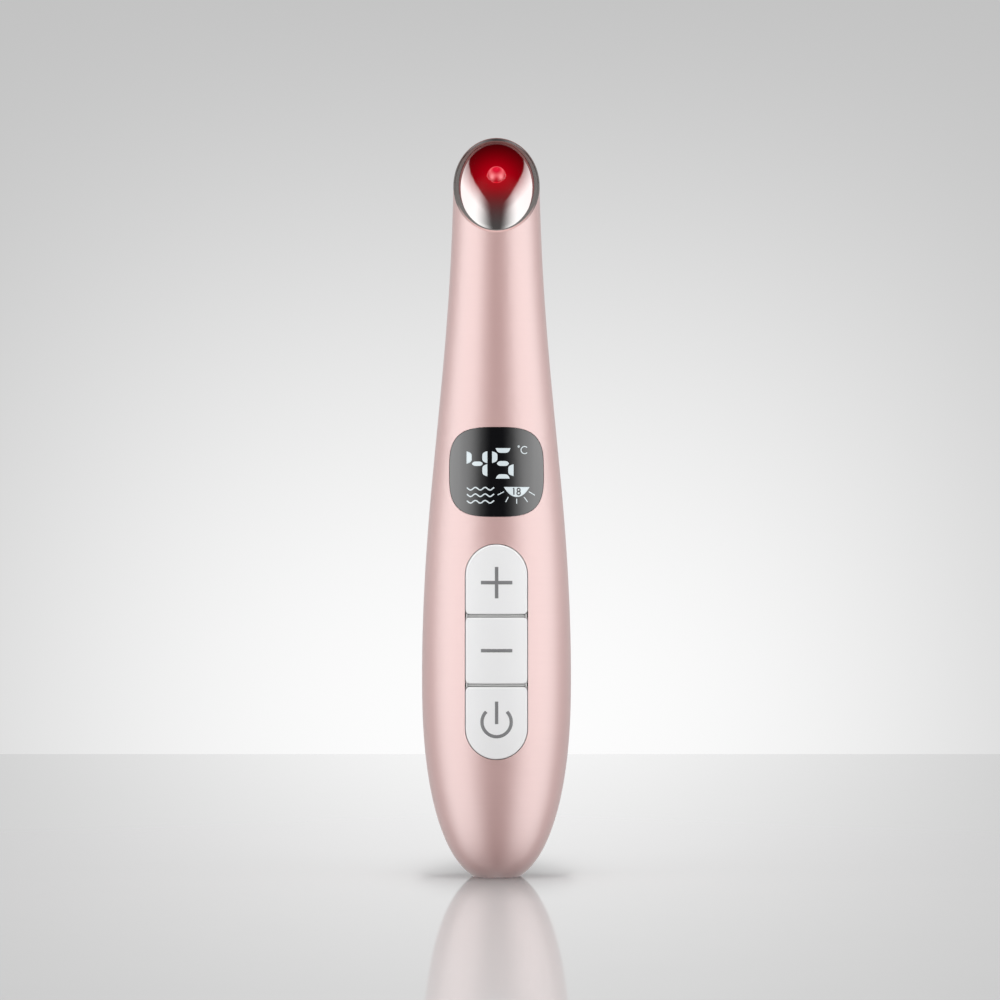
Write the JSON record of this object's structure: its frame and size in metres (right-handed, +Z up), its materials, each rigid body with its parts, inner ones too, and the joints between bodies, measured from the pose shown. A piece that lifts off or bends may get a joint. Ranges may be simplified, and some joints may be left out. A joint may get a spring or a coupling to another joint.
{
  "type": "heated eye massager wand",
  "caption": "Slim upright wand with a slanted heated metal tip, a red light, a small display window and press keys on its front.",
  "frame": {"origin": "centre of the flat face at the handle's lower end", "axes": "+Z up along the handle, -Y towards the keys and the display, +X to the right seen from the front"},
  "size_m": [0.0298, 0.0272, 0.148],
  "materials": {
    "pink_shell": "satin metallic rose coating on moulded ABS",
    "polished_metal": "polished chrome plate on die-cast zinc",
    "dark_rubber": "matt moulded silicone",
    "red_lens": "clear red moulded acrylic",
    "white_package": "matt moulded package",
    "aluminium_board": "white-masked aluminium board",
    "amber_film": "polyimide film with an etched foil",
    "glass_bead": "epoxy-dipped bead",
    "black_plastic": "matt moulded nylon",
    "screw_steel": "zinc-plated steel",
    "smoked_window": "polished smoked acrylic",
    "black_tape": "die-cut adhesive film",
    "white_plastic": "matt moulded ABS",
    "green_board": "green solder mask on glass-epoxy laminate",
    "chip_epoxy": "moulded epoxy packages",
    "cell_sleeve": "shrink sleeve over a steel can",
    "nickel": "bright nickel plate",
    "motor_steel": "drawn steel can",
    "red_wire": "insulated stranded wire",
    "black_wire": "sleeved wire bundle",
    "light_keys": "satin moulded ABS",
    "tungsten": "sintered tungsten alloy"
  },
  "bodies": {
    "handle": {"front_shell": "pink_shell", "rear_shell": "pink_shell", "massage_head": "polished_metal", "head_gasket": "dark_rubber", "light_lens": "red_lens", "red_light": "white_package", "light_board": "aluminium_board", "heater_foil": "amber_film", "thermistor": "glass_bead", "head_carrier": "black_plastic", "carrier_screws": "screw_steel", "display_window": "smoked_window", "window_tape": "black_tape", "display_module": "white_plastic", "main_board": "green_board", "board_chips": "chip_epoxy", "plus_switch_base": "black_plastic", "minus_switch_base": "black_plastic", "power_switch_base": "black_plastic", "inner_chassis": "white_plastic", "chassis_screws": "screw_steel", "round_cell": "cell_sleeve", "cell_tabs": "nickel", "motor_can": "motor_steel", "motor_sleeve": "dark_rubber", "socket_shell": "nickel", "socket_tongue": "black_plastic", "charge_board": "green_board", "charge_board_screws": "screw_steel", "motor_leads": "red_wire", "head_harness": "black_wire", "cell_leads": "red_wire", "charge_leads": "red_wire"},
    "plus_button": {"plus_key": "light_keys", "plus_switch_plunger": "black_plastic"},
    "minus_button": {"minus_key": "light_keys", "minus_switch_plunger": "black_plastic"},
    "power_button": {"power_key": "light_keys", "power_switch_plunger": "black_plastic"},
    "rotor": {"motor_shaft": "screw_steel", "eccentric_weight": "tungsten"}
  },
  "joints": [
    {"name": "plus_press", "type": "slide", "parent": "handle", "child": "plus_button", "axis": [0, 1, 0], "range_m": [0, 0.0003], "stiffness_N_per_m": 600},
    {"name": "minus_press", "type": "slide", "parent": "handle", "child": "minus_button", "axis": [0, 1, 0], "range_m": [0, 0.0003], "stiffness_N_per_m": 600},
    {"name": "power_press", "type": "slide", "parent": "handle", "child": "power_button", "axis": [0, 1, 0], "range_m": [0, 0.0003], "stiffness_N_per_m": 600},
    {"name": "motor_spin", "type": "hinge", "parent": "handle", "child": "rotor", "pos_m": [0, -0.0016, 0.1145], "axis": [0, 0, 1], "continuous": true}
  ]
}
